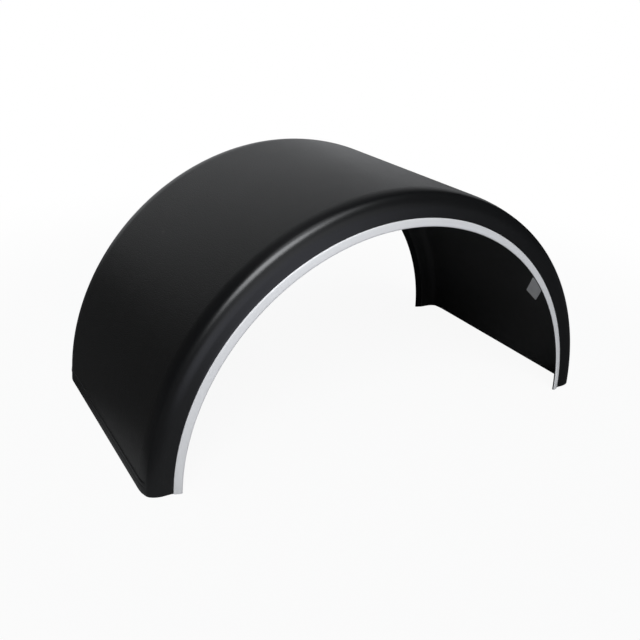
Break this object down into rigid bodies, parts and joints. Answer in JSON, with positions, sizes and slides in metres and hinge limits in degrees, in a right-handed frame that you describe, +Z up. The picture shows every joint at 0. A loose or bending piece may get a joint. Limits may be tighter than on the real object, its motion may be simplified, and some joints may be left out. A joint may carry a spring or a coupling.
{
  "type": "truck mudguard",
  "caption": "Half-round mudguard for a twin-wheel truck axle: arched black plastic shell with rounded shoulders, inward side flanges and a bright strip along one rim.",
  "frame": {"origin": "middle of the guard, on the plane that its feet stand on", "axes": "+X along the vehicle, +Y along the axle, away from the trimmed flange, +Z up"},
  "size_m": [1.2426, 0.6475, 0.605],
  "materials": {
    "moulded_plastic": "black polyethylene, fine-grained and matte on the arched wall, satin on shoulders and flanges",
    "trim_strip": "satin silver-grey"
  },
  "bodies": {
    "root": {"mudguard_shell": "moulded_plastic", "edge_trim": "trim_strip"}
  },
  "joints": []
}
